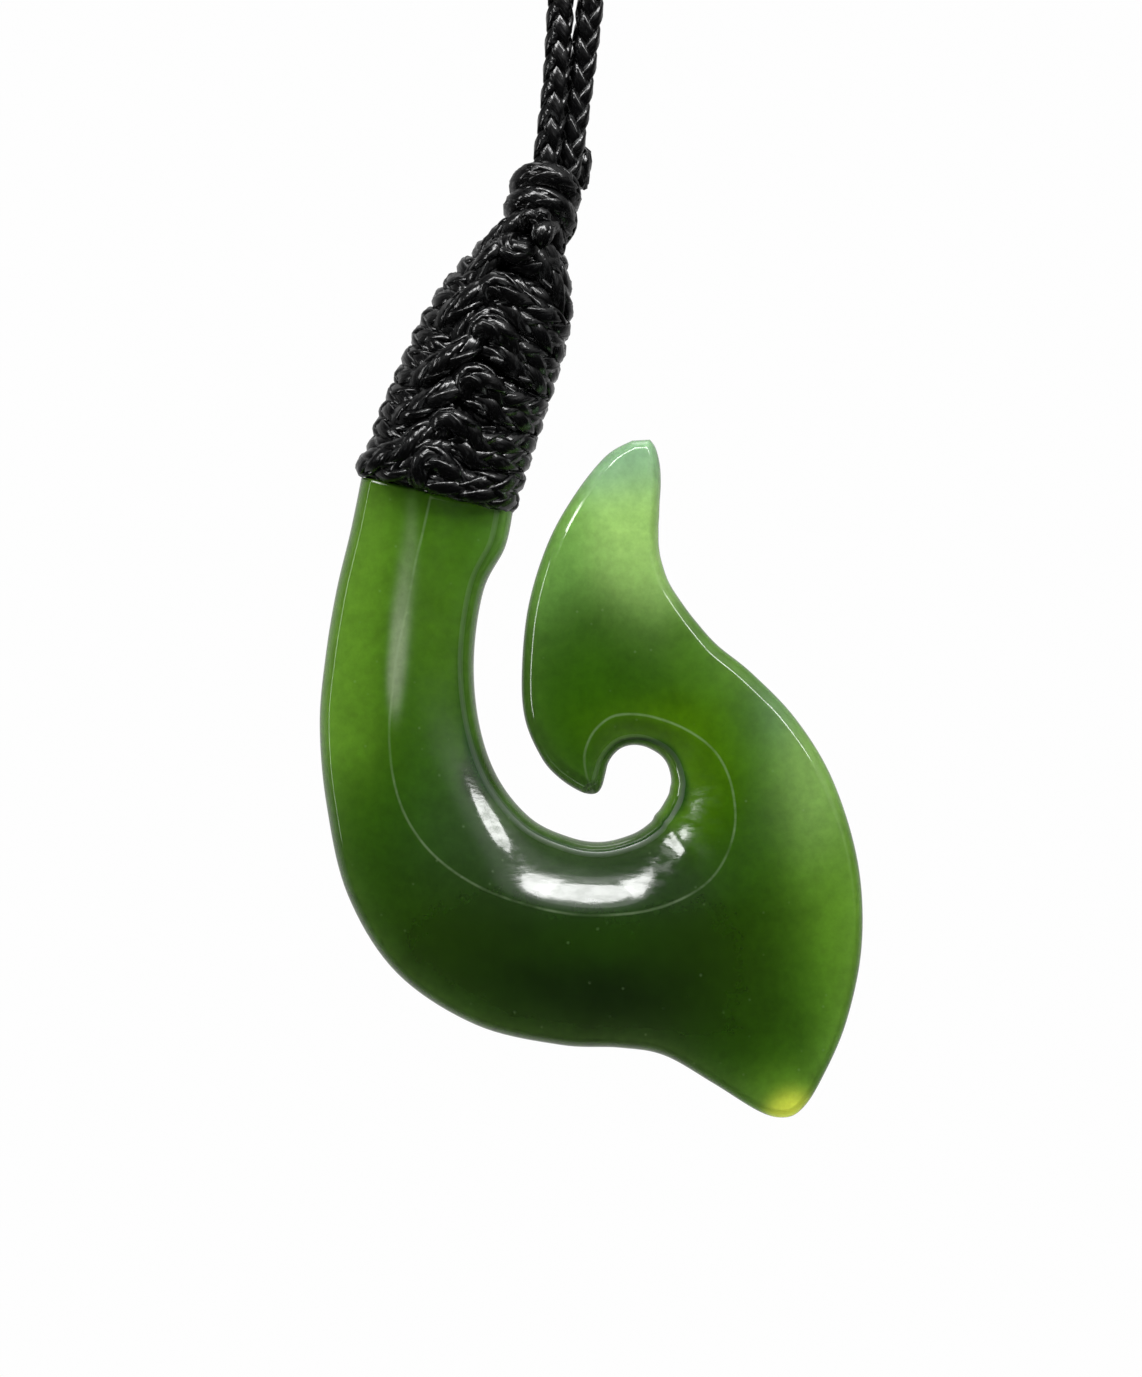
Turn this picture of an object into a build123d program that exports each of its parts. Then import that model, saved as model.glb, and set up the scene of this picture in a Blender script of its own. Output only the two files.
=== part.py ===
"""A carved stone fish hook pendant, lashed with braided cord to a plain neck loop.

The loop hangs from the origin. +Z is up, +X is to the right of the pendant's front, and the front faces -Y.
All lengths are in millimetres.
"""
import os
from collections import namedtuple
from math import cos, hypot, pi, radians, sin, sqrt, tan

from build123d import *

# Driving dimensions of the pendant
HOOK_WIDTH = 38.8
PENDANT_HEIGHT = 68.4
STONE_THICKNESS = 7.0
RIM_WIDTH = 0.8
RIM_LIMIT = 0.4
SCOOP_START = 1.7
SCOOP_END = 4.0
PLUMB_SHARE = 0.516

# Driving dimensions of the binding and the knot
BINDING_WIDTH = 11.5
BINDING_CORD = 1.45
BINDING_TURNS = 12
BINDING_CLEARANCE = 0.12
KNOT_TURNS = 3
KNOT_WIDTH = 5.6
KNOT_DEPTH = 5.8
KNOT_CORD = 1.8
SEAT_GAP = 0.1
SHOULDER_INSET = 0.2

# Driving dimensions of the neck loop and its tail
CORD_DIAMETER = 1.95
LOOP_DROP = 300.0
LOOP_WIDTH = 40.0
STRAND_GAP = 0.08
ARC_SHARE = 0.45
TAIL_DIAMETER = 1.7
TAIL_LENGTH = 2.9
TAIL_RISE = 1.0
TAIL_ANGLE = 50
TAIL_ROUNDING = 0.4

# How finely the stone is faceted
ROW_STEPS = 3
RIM_STEPS = 3
FACE_STEPS = 5
TURN_STEPS = 4

# The stone, a row for each section across it, from under the binding round the bend to the tip of the point.
# Places are shares of HOOK_WIDTH from the left edge, and of PENDANT_HEIGHT down from the top of the knot.
# crease is where the section is thickest, as a share of the way from the outer edge to the inner edge.
# crest, outer_edge and inner_edge are shares of STONE_THICKNESS, and scoop hollows the inner flank.
Section = namedtuple("Section", "outer_x outer_z inner_x inner_z crease crest outer_edge inner_edge scoop")
STONE = [
    Section(0.057, 0.387, 0.341, 0.405, 0.47, 0.86, 0.50, 0.54, 0.0),
    Section(0.031, 0.449, 0.302, 0.449, 0.50, 0.88, 0.48, 0.56, 0.1),
    Section(0.011, 0.517, 0.284, 0.519, 0.49, 0.90, 0.46, 0.58, 0.3),
    Section(0.000, 0.590, 0.293, 0.587, 0.43, 0.92, 0.45, 0.58, 0.5),
    Section(0.013, 0.675, 0.327, 0.644, 0.43, 0.94, 0.45, 0.58, 0.7),
    Section(0.052, 0.768, 0.388, 0.687, 0.46, 0.97, 0.44, 0.57, 0.8),
    Section(0.142, 0.849, 0.460, 0.707, 0.60, 0.99, 0.42, 0.56, 1.0),
    Section(0.287, 0.903, 0.519, 0.712, 0.64, 1.00, 0.40, 0.55, 1.0),
    Section(0.442, 0.924, 0.575, 0.704, 0.62, 1.00, 0.40, 0.54, 1.0),
    Section(0.552, 0.927, 0.608, 0.692, 0.60, 0.99, 0.38, 0.53, 1.0),
    Section(0.634, 0.935, 0.617, 0.684, 0.62, 0.96, 0.36, 0.52, 1.0),
    Section(0.724, 0.964, 0.625, 0.679, 0.67, 0.92, 0.32, 0.50, 1.0),
    Section(0.807, 0.993, 0.632, 0.673, 0.71, 0.88, 0.28, 0.48, 1.0),
    Section(0.853, 1.000, 0.635, 0.670, 0.72, 0.85, 0.26, 0.46, 1.0),
    Section(0.886, 0.992, 0.639, 0.666, 0.72, 0.83, 0.26, 0.45, 1.0),
    Section(0.921, 0.963, 0.643, 0.661, 0.71, 0.81, 0.28, 0.43, 1.0),
    Section(0.969, 0.901, 0.645, 0.655, 0.70, 0.78, 0.30, 0.41, 1.0),
    Section(0.998, 0.820, 0.647, 0.649, 0.68, 0.74, 0.32, 0.39, 1.0),
    Section(0.991, 0.734, 0.645, 0.640, 0.66, 0.69, 0.33, 0.37, 1.0),
    Section(0.945, 0.648, 0.639, 0.630, 0.65, 0.64, 0.34, 0.35, 1.0),
    Section(0.877, 0.584, 0.628, 0.622, 0.66, 0.59, 0.35, 0.34, 1.0),
    Section(0.796, 0.536, 0.612, 0.616, 0.70, 0.55, 0.36, 0.33, 1.0),
    Section(0.733, 0.507, 0.595, 0.612, 0.74, 0.52, 0.37, 0.32, 1.0),
    Section(0.696, 0.484, 0.575, 0.611, 0.76, 0.51, 0.38, 0.31, 1.0),
    Section(0.669, 0.464, 0.556, 0.614, 0.77, 0.49, 0.38, 0.30, 1.0),
    Section(0.643, 0.441, 0.541, 0.621, 0.76, 0.48, 0.38, 0.30, 1.0),
    Section(0.629, 0.418, 0.531, 0.630, 0.76, 0.47, 0.38, 0.30, 1.0),
    Section(0.625, 0.405, 0.527, 0.638, 0.74, 0.47, 0.38, 0.30, 0.9),
    Section(0.624, 0.398, 0.519, 0.655, 0.71, 0.46, 0.38, 0.31, 0.8),
    Section(0.624, 0.394, 0.505, 0.662, 0.69, 0.46, 0.38, 0.33, 0.6),
    Section(0.624, 0.390, 0.478, 0.659, 0.66, 0.46, 0.38, 0.36, 0.4),
    Section(0.624, 0.386, 0.438, 0.644, 0.62, 0.47, 0.38, 0.38, 0.2),
    Section(0.624, 0.381, 0.407, 0.623, 0.59, 0.47, 0.38, 0.38, 0.0),
    Section(0.625, 0.373, 0.378, 0.584, 0.56, 0.47, 0.38, 0.37, 0.0),
    Section(0.626, 0.358, 0.372, 0.535, 0.54, 0.46, 0.37, 0.37, 0.0),
    Section(0.628, 0.339, 0.384, 0.466, 0.52, 0.44, 0.36, 0.36, 0.0),
    Section(0.627, 0.322, 0.420, 0.400, 0.50, 0.43, 0.35, 0.35, 0.0),
    Section(0.623, 0.309, 0.470, 0.349, 0.50, 0.42, 0.34, 0.34, 0.0),
    Section(0.617, 0.299, 0.527, 0.309, 0.50, 0.39, 0.32, 0.32, 0.0),
    Section(0.608, 0.292, 0.575, 0.293, 0.50, 0.32, 0.28, 0.28, 0.0),
]

# The binding, a row for each station along the shank, from its lower edge up to the knot.
# half_width is a share of BINDING_WIDTH, out to the turns. depth is half the thickness of the shank inside, as a
# share of STONE_THICKNESS, and tilt is the slope of the turns in degrees.
Station = namedtuple("Station", "x z half_width depth tilt")
BINDING = [
    Station(0.217, 0.348, 0.500, 0.39, 13),
    Station(0.243, 0.299, 0.500, 0.39, 18),
    Station(0.271, 0.256, 0.488, 0.38, 20),
    Station(0.298, 0.215, 0.475, 0.37, 20),
    Station(0.328, 0.174, 0.450, 0.35, 20),
    Station(0.356, 0.135, 0.388, 0.31, 17),
    Station(0.376, 0.094, 0.262, 0.20, 13),
]

# The stone's shape where the binding's lower edge sits on it
SHOULDER = {"crease": 0.48, "crest": 0.84, "outer_edge": 0.50, "inner_edge": 0.50, "scoop": 0.0}

# The knot's upper end, placed in the same shares, its tilt there, and where the neck strands leave it
KNOT_TOP = (0.426, 0.000)
KNOT_TILT = 9
STRANDS_SHARE = 0.438

# One side of the neck loop, from the knot up to the turn at the top, whose underside is at the origin.
# rise is a share of LOOP_DROP, up from the top of the knot. lean is a share of the strands' distance from the
# plumb line, half_gap a share of LOOP_WIDTH beyond the strands' own spacing, and twist a share of that spacing.
Bend = namedtuple("Bend", "rise lean half_gap twist")
LOOP_SIDE = [
    Bend(0.000, 1.00, 0.000, 0.62),
    Bend(0.015, 0.78, 0.000, 0.58),
    Bend(0.032, 0.62, 0.000, 0.10),
    Bend(0.053, 0.45, 0.005, 0.00),
    Bend(0.090, 0.22, 0.021, 0.00),
    Bend(0.150, 0.05, 0.064, 0.00),
    Bend(0.245, 0.00, 0.155, 0.00),
    Bend(0.380, 0.00, 0.275, 0.00),
    Bend(0.530, 0.00, 0.378, 0.00),
    Bend(0.680, 0.00, 0.442, 0.00),
    Bend(0.820, 0.00, 0.456, 0.00),
    Bend(0.930, 0.00, 0.408, 0.00),
    Bend(1.000, 0.00, 0.190, 0.00),
]


def place(x_share, z_share):
    """Where a point given in shares lies, as x and z."""
    x = (x_share - PLUMB_SHARE) * HOOK_WIDTH
    z = -LOOP_DROP - z_share * PENDANT_HEIGHT
    return x, z


def shares(x, z):
    """The shares that give a point: place turned round."""
    return x / HOOK_WIDTH + PLUMB_SHARE, -(z + LOOP_DROP) / PENDANT_HEIGHT


def mixed(rows, position):
    """The row at a position along a table, curving smoothly through the rows beside it."""
    start = min(int(position), len(rows) - 2)
    share = position - start
    before = rows[max(start - 1, 0)]
    after = rows[min(start + 2, len(rows) - 1)]
    values = []
    for a, b, c, d in zip(before, rows[start], rows[start + 1], after):
        bend = 2 * a - 5 * b + 4 * c - d
        twist = 3 * (b - c) + d - a
        values.append(b + 0.5 * share * (c - a + share * (bend + share * twist)))
    return values


def station_at(share):
    """The binding's centre, half width, half depth and tilt at a share of its height."""
    station = Station(*mixed(BINDING, share * (len(BINDING) - 1)))
    x, z = place(station.x, station.z)
    half_depth = station.depth * STONE_THICKNESS + BINDING_CLEARANCE + BINDING_CORD
    return x, z, station.half_width * BINDING_WIDTH, half_depth, station.tilt


def moved_up(x, z, tilt, amount):
    """A tilted section's centre, moved along its normal."""
    slope = radians(tilt)
    return x + amount * sin(slope), z + amount * cos(slope)


def section_ends(x, z, half_width, tilt):
    """The outer and inner ends of a section across the shank."""
    slope = radians(tilt)
    outer = (x - half_width * cos(slope), z + half_width * sin(slope))
    inner = (x + half_width * cos(slope), z - half_width * sin(slope))
    return outer, inner


def section_plane(x, z, tilt):
    """A plane across a tilted piece: its x axis runs along the width, and its normal points up the piece."""
    slope = radians(tilt)
    return Plane(origin=(x, 0, z), x_dir=(cos(slope), 0, -sin(slope)), z_dir=(sin(slope), 0, cos(slope)))


def oval_outline(half_depth):
    """Half of an oval section, from the outer edge to the inner edge, as pairs of share and half thickness."""
    steps = 2 * (RIM_STEPS + FACE_STEPS)
    angles = [pi * step / steps for step in range(steps + 1)]
    return [((1 - cos(angle)) / 2, half_depth * sin(angle)) for angle in angles]


def carved_outline(section, width):
    """Half of a carved section, as pairs of share and half thickness: a rim, two flanks and the inner rim."""
    half = STONE_THICKNESS / 2
    rim = min(RIM_WIDTH / width, RIM_LIMIT * section.crease, RIM_LIMIT * (1 - section.crease))
    points = []
    for step in range(RIM_STEPS):
        angle = pi / 2 * step / RIM_STEPS
        points.append((rim * (1 - cos(angle)), half * section.outer_edge * sin(angle)))
    for step in range(FACE_STEPS):
        share = step / FACE_STEPS
        rise = sin(pi / 2 * share)
        height = section.outer_edge + (section.crest - section.outer_edge) * rise
        points.append((rim + (section.crease - rim) * share, half * height))
    for step in range(FACE_STEPS):
        share = step / FACE_STEPS
        full = cos(pi / 2 * share)
        hollow = (1 - share ** SCOOP_START) ** SCOOP_END
        fall = full + (hollow - full) * section.scoop
        height = section.inner_edge + (section.crest - section.inner_edge) * fall
        points.append((section.crease + (1 - rim - section.crease) * share, half * height))
    for step in range(RIM_STEPS + 1):
        angle = pi / 2 * step / RIM_STEPS
        points.append((1 - rim * (1 - sin(angle)), half * section.inner_edge * cos(angle)))
    return points


def ring_points(outer, inner, outline):
    """The closed ring of one section: its front from the outer edge to the inner edge, then its back."""
    def across(share, height):
        return (outer[0] + share * (inner[0] - outer[0]), height, outer[1] + share * (inner[1] - outer[1]))
    front = [across(share, -height) for share, height in outline]
    back = [across(share, height) for share, height in reversed(outline[1:-1])]
    return front + back


def seat():
    """Where the stone's shoulder lies, just under the binding's lower edge, in the same terms as a station."""
    x, z, half_width, half_depth, tilt = station_at(0)
    return *moved_up(x, z, tilt, -SEAT_GAP), half_width, half_depth, tilt


def shank_rings():
    """Rings of the oval shank that the binding hides, from its top down to the shoulder."""
    rings = []
    wrap = BINDING_CORD + BINDING_CLEARANCE
    steps = ROW_STEPS * (len(BINDING) - 1)
    stations = [station_at(step / steps) for step in range(steps, -1, -1)]
    for x, z, half_width, half_depth, tilt in stations + [seat()]:
        outer, inner = section_ends(x, z, half_width - wrap, tilt)
        rings.append(ring_points(outer, inner, oval_outline(half_depth - wrap)))
    return rings


def carved_rings():
    """Rings of the carved stone, from the shoulder under the binding round to the tip of the point."""
    x, z, half_width, _, tilt = seat()
    outer, inner = section_ends(x, z, half_width - SHOULDER_INSET, tilt)
    rows = [Section(*shares(*outer), *shares(*inner), **SHOULDER)] + STONE
    rings = []
    for step in range(ROW_STEPS * (len(rows) - 1) + 1):
        section = Section(*mixed(rows, step / ROW_STEPS))
        outer = place(section.outer_x, section.outer_z)
        inner = place(section.inner_x, section.inner_z)
        width = hypot(inner[0] - outer[0], inner[1] - outer[1])
        rings.append(ring_points(outer, inner, carved_outline(section, width)))
    return rings


def faceted(rings):
    """One closed solid of triangles through rings that all have the same number of points."""
    triangles = []
    count = len(rings[0])
    for ring, following in zip(rings, rings[1:]):
        for index in range(count):
            beside = (index + 1) % count
            triangles.append((ring[index], following[index], following[beside]))
            triangles.append((ring[index], following[beside], ring[beside]))
    for ring, order in ((rings[0], 1), (rings[-1], -1)):
        for index in range(1, count - 1):
            triangles.append((ring[0], *(ring[index], ring[index + 1])[::order]))
    return Solid(Shell([Face(Wire.make_polygon(corners)) for corners in triangles]))


def wound_sections(centre_at, turns, cord):
    """Sections up a wound sleeve, whose turns stand out as half rounds: each a plane and two half axes."""
    sections = []
    for step in range(TURN_STEPS * turns + 1):
        x, z, half_width, half_depth, tilt = centre_at(step / (TURN_STEPS * turns))
        sunk = cord / 4 * (1 - sin(pi * (step % TURN_STEPS) / TURN_STEPS))
        sections.append((section_plane(x, z, tilt), half_width - sunk, half_depth - sunk))
    return sections


def knot_at(share):
    """The knot's centre, half width, half depth and tilt at a share of its height above the binding."""
    x, z, _, _, tilt = station_at(1)
    foot_x, foot_z = moved_up(x, z, tilt, SEAT_GAP)
    top_x, top_z = place(*KNOT_TOP)
    x = foot_x + share * (top_x - foot_x)
    z = foot_z + share * (top_z - foot_z)
    return x, z, KNOT_WIDTH / 2, KNOT_DEPTH / 2, tilt + share * (KNOT_TILT - tilt)


def loop_points():
    """The neck loop's route, from the left strand on the knot round the top to the right strand."""
    start_x = place(STRANDS_SHARE, 0)[0]
    knot_x = place(*KNOT_TOP)[0]
    spacing = (CORD_DIAMETER + STRAND_GAP) / 2
    slope = radians(KNOT_TILT)
    sides = []
    for side in (-1, 1):
        points = []
        for bend in LOOP_SIDE:
            x = bend.lean * start_x + side * (spacing * sqrt(1 - bend.twist ** 2) + bend.half_gap * LOOP_WIDTH)
            points.append((x, side * bend.twist * spacing, (bend.rise - 1) * LOOP_DROP))
        foot_x, foot_y, _ = points[0]
        points[0] = (foot_x, foot_y, -LOOP_DROP + SEAT_GAP / cos(slope) - (foot_x - knot_x) * tan(slope))
        top_x, top_y, _ = points[-1]
        points[-1] = (top_x, top_y, CORD_DIAMETER / 2)
        sides.append(points)
    left, right = sides
    return left + right[::-1]


def arc_radii(points):
    """The radius of the tangent arc at each corner of a route, as large as its two runs allow."""
    radii = []
    for before, corner, after in zip(points, points[1:], points[2:]):
        arriving = Vector(*corner) - Vector(*before)
        leaving = Vector(*after) - Vector(*corner)
        turn = radians(arriving.get_angle(leaving))
        radii.append(ARC_SHARE * min(arriving.length, leaving.length) / tan(turn / 2))
    return radii


os.makedirs("parts", exist_ok=True)

# The carved stone and the shank hidden in the binding
with BuildPart() as stone_hook:
    add(faceted(shank_rings() + carved_rings()))

# The turns wound round the shank
with BuildPart() as shank_binding:
    for plane, half_width, half_depth in wound_sections(station_at, BINDING_TURNS, BINDING_CORD):
        with BuildSketch(plane):
            Ellipse(half_width, half_depth)
    loft(ruled=True)
    for step in range(ROW_STEPS * (len(BINDING) - 1) + 1):
        x, z, half_width, half_depth, tilt = station_at(step / (ROW_STEPS * (len(BINDING) - 1)))
        with BuildSketch(section_plane(x, z, tilt)):
            Ellipse(half_width - BINDING_CORD, half_depth - BINDING_CORD)
    loft(ruled=True, mode=Mode.SUBTRACT)

# The turns that gather the two neck strands
with BuildPart() as knot_turns:
    for plane, half_width, half_depth in wound_sections(knot_at, KNOT_TURNS, KNOT_CORD):
        with BuildSketch(plane):
            Ellipse(half_width, half_depth)
    loft(ruled=True)

# The cut end that stands up behind the knot, its side against the turns
knot_x, knot_z, knot_half_width, knot_half_depth, _ = knot_at(1)
around = radians(TAIL_ANGLE)
away = Vector(cos(around) / knot_half_width, sin(around) / knot_half_depth).normalized()
reach = TAIL_DIAMETER / 2 + SEAT_GAP
tail_x = knot_half_width * cos(around) + away.X * reach
tail_y = knot_half_depth * sin(around) + away.Y * reach
with BuildPart() as cord_tail:
    with BuildSketch(section_plane(knot_x, knot_z, KNOT_TILT).offset(TAIL_RISE - TAIL_LENGTH)):
        with Locations((tail_x, tail_y)):
            Circle(TAIL_DIAMETER / 2)
    extrude(amount=TAIL_LENGTH)
    fillet(cord_tail.edges().filter_by(GeomType.CIRCLE), radius=TAIL_ROUNDING * TAIL_DIAMETER)

# The neck loop
route_points = loop_points()
route_radii = arc_radii(route_points)
with BuildPart() as neck_cord:
    with BuildLine():
        route = FilletPolyline(*route_points, radius=route_radii)
    with BuildSketch(Plane(origin=route @ 0, z_dir=route % 0)):
        Circle(CORD_DIAMETER / 2)
    sweep(path=route)

swept = pi / 4 * CORD_DIAMETER ** 2 * route.length
print("neck loop length", round(route.length, 1))
print("arc radii", [round(radius, 1) for radius in route_radii])
print("volume against section times length", round(neck_cord.part.volume / swept, 4))

stone_hook.part.label = "stone_hook"
shank_binding.part.label = "shank_binding"
knot_turns.part.label = "knot_turns"
cord_tail.part.label = "cord_tail"
neck_cord.part.label = "neck_cord"

export_step(stone_hook.part, "parts/stone_hook.step")
export_step(shank_binding.part, "parts/shank_binding.step")
export_step(knot_turns.part, "parts/knot_turns.step")
export_step(cord_tail.part, "parts/cord_tail.step")
export_step(neck_cord.part, "parts/neck_cord.step")
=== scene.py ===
"""A carved greenstone fish hook, lashed with black braided cord to a plain neck loop.

The loop hangs from the origin. +Z is up, +X is to the right of the pendant's front, and the front faces -Y.
All lengths are in metres.
"""
from collections import namedtuple
from itertools import starmap
from math import asin, atan2, cos, degrees, pi, radians, sin, sqrt

import bpy
import numpy as np
from mathutils import Matrix, Vector


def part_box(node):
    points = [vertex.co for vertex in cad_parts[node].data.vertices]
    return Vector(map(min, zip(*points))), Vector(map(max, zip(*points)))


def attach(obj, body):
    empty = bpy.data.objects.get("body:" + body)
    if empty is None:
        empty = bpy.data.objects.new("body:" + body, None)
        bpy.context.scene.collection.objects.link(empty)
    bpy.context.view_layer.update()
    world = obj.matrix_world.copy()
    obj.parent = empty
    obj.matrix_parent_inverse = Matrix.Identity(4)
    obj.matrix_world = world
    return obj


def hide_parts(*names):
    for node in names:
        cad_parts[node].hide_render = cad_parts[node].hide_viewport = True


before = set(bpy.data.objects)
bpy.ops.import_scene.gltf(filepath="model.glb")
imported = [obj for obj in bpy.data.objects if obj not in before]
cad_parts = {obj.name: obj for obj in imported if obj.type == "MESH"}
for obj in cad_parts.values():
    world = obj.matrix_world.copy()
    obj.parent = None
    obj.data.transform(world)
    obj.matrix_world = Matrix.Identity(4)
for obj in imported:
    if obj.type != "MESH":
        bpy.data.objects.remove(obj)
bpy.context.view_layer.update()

MM = 0.001

# The least length that counts
LEAST = 0.001 * MM

# Driving dimensions of the pendant, as in the part's own source
HOOK_WIDTH = 38.8 * MM
PENDANT_HEIGHT = 68.4 * MM
STONE_THICKNESS = 7.0 * MM
PLUMB_SHARE = 0.516
BINDING_WIDTH = 11.5 * MM
BINDING_CORD = 1.45 * MM
BINDING_CLEARANCE = 0.12 * MM
SEAT_GAP = 0.1 * MM
SHOULDER_INSET = 0.2 * MM
CORD_DIAMETER = 1.95 * MM
LOOP_DROP = 300.0 * MM
LOOP_WIDTH = 40.0 * MM
STRAND_GAP = 0.08 * MM

# The braids' diameters, and how far the neck strands run down into the knot
NECK_BRAID = 2.06 * MM
NECK_FOOT = 1.6 * MM
BINDING_BRAID = 1.96 * MM
KNOT_BRAID = 2.0 * MM
TAIL_BRAID = 2.3 * MM

# The stone's sections, from under the binding to the tip of the point. Places are shares of HOOK_WIDTH from
# the left edge and of PENDANT_HEIGHT down from the knot's top, edges are shares of STONE_THICKNESS, and rims
# are the widths of the rounded edges in millimetres.
Section = namedtuple("Section", "outer_x outer_z inner_x inner_z outer_edge inner_edge outer_rim inner_rim")
STONE = list(starmap(Section, [
    (0.057, 0.387, 0.341, 0.405, 0.50, 0.54, 0.75, 1.10),
    (0.031, 0.449, 0.302, 0.449, 0.48, 0.56, 0.75, 1.00),
    (0.011, 0.517, 0.284, 0.519, 0.46, 0.58, 0.75, 0.95),
    (0.000, 0.590, 0.293, 0.587, 0.45, 0.58, 0.70, 0.90),
    (0.013, 0.675, 0.327, 0.644, 0.45, 0.58, 0.70, 0.90),
    (0.052, 0.768, 0.388, 0.687, 0.44, 0.57, 0.65, 0.90),
    (0.142, 0.849, 0.460, 0.707, 0.42, 0.56, 0.60, 0.90),
    (0.287, 0.903, 0.519, 0.712, 0.40, 0.55, 0.60, 0.90),
    (0.442, 0.924, 0.575, 0.704, 0.40, 0.54, 0.60, 0.90),
    (0.552, 0.927, 0.608, 0.692, 0.38, 0.53, 0.60, 0.95),
    (0.634, 0.935, 0.617, 0.684, 0.36, 0.52, 0.60, 1.00),
    (0.724, 0.964, 0.625, 0.679, 0.32, 0.50, 0.60, 1.00),
    (0.807, 0.993, 0.632, 0.673, 0.28, 0.48, 0.60, 1.00),
    (0.853, 1.000, 0.635, 0.670, 0.26, 0.46, 0.60, 1.00),
    (0.886, 0.992, 0.639, 0.666, 0.26, 0.45, 0.60, 0.95),
    (0.921, 0.963, 0.643, 0.661, 0.28, 0.43, 0.60, 0.90),
    (0.969, 0.901, 0.645, 0.655, 0.30, 0.41, 0.60, 0.85),
    (0.998, 0.820, 0.647, 0.649, 0.32, 0.39, 0.60, 0.80),
    (0.991, 0.734, 0.645, 0.640, 0.33, 0.37, 0.65, 0.75),
    (0.945, 0.648, 0.639, 0.630, 0.34, 0.35, 0.80, 0.70),
    (0.877, 0.584, 0.628, 0.622, 0.35, 0.34, 0.90, 0.65),
    (0.796, 0.536, 0.612, 0.616, 0.36, 0.33, 0.90, 0.60),
    (0.733, 0.507, 0.595, 0.612, 0.37, 0.32, 0.85, 0.60),
    (0.696, 0.484, 0.575, 0.611, 0.38, 0.31, 0.80, 0.60),
    (0.669, 0.464, 0.556, 0.614, 0.38, 0.30, 0.75, 0.60),
    (0.643, 0.441, 0.541, 0.621, 0.38, 0.30, 0.70, 0.60),
    (0.629, 0.418, 0.531, 0.630, 0.38, 0.30, 0.70, 0.60),
    (0.625, 0.405, 0.527, 0.638, 0.38, 0.30, 0.70, 0.65),
    (0.624, 0.398, 0.519, 0.655, 0.38, 0.31, 0.70, 0.70),
    (0.624, 0.394, 0.505, 0.662, 0.38, 0.33, 0.70, 0.90),
    (0.624, 0.390, 0.478, 0.659, 0.38, 0.36, 0.70, 1.10),
    (0.624, 0.386, 0.438, 0.644, 0.38, 0.38, 0.70, 1.20),
    (0.624, 0.381, 0.407, 0.623, 0.38, 0.38, 0.70, 1.20),
    (0.625, 0.373, 0.378, 0.584, 0.38, 0.37, 0.70, 1.20),
    (0.626, 0.358, 0.372, 0.535, 0.37, 0.37, 0.70, 1.20),
    (0.628, 0.339, 0.384, 0.466, 0.36, 0.36, 0.70, 1.10),
    (0.627, 0.322, 0.420, 0.400, 0.35, 0.35, 0.70, 1.00),
    (0.623, 0.309, 0.470, 0.349, 0.34, 0.34, 0.65, 0.90),
    (0.617, 0.299, 0.527, 0.309, 0.32, 0.32, 0.60, 0.80),
    (0.608, 0.292, 0.575, 0.293, 0.28, 0.28, 0.60, 0.60),
]))

# The stone's edges and rims under the binding's lower edge
SHOULDER = {"outer_edge": 0.50, "inner_edge": 0.50, "outer_rim": 0.75, "inner_rim": 1.10}

# The line where the scoop round the opening begins: down the shank, round the bend and back to the corner of
# the point. crest is the share of STONE_THICKNESS there, scoop how far the flank inside the line is hollowed,
# and start how far in the hollow begins.
Ridge = namedtuple("Ridge", "x z crest scoop start", defaults=(1.0, 1.7))
SCOOP_LINE = list(starmap(Ridge, [
    (0.205, 0.352, 0.85, 0.0),
    (0.190, 0.391, 0.86, 0.0),
    (0.177, 0.421, 0.87, 0.1),
    (0.160, 0.473, 0.88, 0.2, 1.8),
    (0.144, 0.514, 0.90, 0.3, 2.0),
    (0.134, 0.560, 0.91, 0.4, 2.5),
    (0.129, 0.600, 0.92, 0.5, 3.5),
    (0.135, 0.640, 0.94, 0.6, 5.0),
    (0.153, 0.677, 0.95, 0.68, 7.5),
    (0.187, 0.710, 0.97, 0.70, 7.5),
    (0.235, 0.737, 0.98, 1.08, 5.5),
    (0.300, 0.760, 1.00, 1.34, 2.4),
    (0.365, 0.774, 1.00, 1.28),
    (0.434, 0.784, 1.00, 1.16),
    (0.506, 0.788, 0.99, 1.15),
    (0.595, 0.784, 0.97, 1.30, 1.8),
    (0.665, 0.771, 0.93, 1.30, 2.2),
    (0.718, 0.751, 0.87, 1.0, 4.0),
    (0.750, 0.723, 0.82, 0.9, 4.5),
    (0.764, 0.693, 0.75, 0.35, 3.0),
    (0.761, 0.663, 0.68, 0.35),
    (0.747, 0.636, 0.62),
    (0.718, 0.612, 0.57),
    (0.665, 0.592, 0.53),
    (0.600, 0.580, 0.50),
    (0.545, 0.580, 0.48),
    (0.512, 0.592, 0.47),
    (0.494, 0.608, 0.46),
    (0.487, 0.626, 0.44),
    (0.494, 0.648, 0.41),
    (0.5045, 0.6622, 0.34),
]))

# How soon the hollow has its full depth: the higher, the sooner
SCOOP_END = 4.0

# The soft ridge of the point, from the scoop line up towards its tip
POINT_RIDGE = [
    Ridge(0.598, 0.572, 0.49),
    Ridge(0.592, 0.530, 0.48),
    Ridge(0.590, 0.480, 0.47),
    Ridge(0.592, 0.430, 0.45),
    Ridge(0.596, 0.380, 0.43),
    Ridge(0.601, 0.325, 0.38),
]

# The steps from row to row of the two lines, and how softly their values blend
LINE_STEPS = 4
BLEND_REACH = 1.2 * MM

# The faint seam across the scoop's right end
SEAM = [(0.640, 0.693), (0.690, 0.724)]
SEAM_HEIGHT = 0.095 * MM
SEAM_WIDTH = 0.75 * MM

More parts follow.
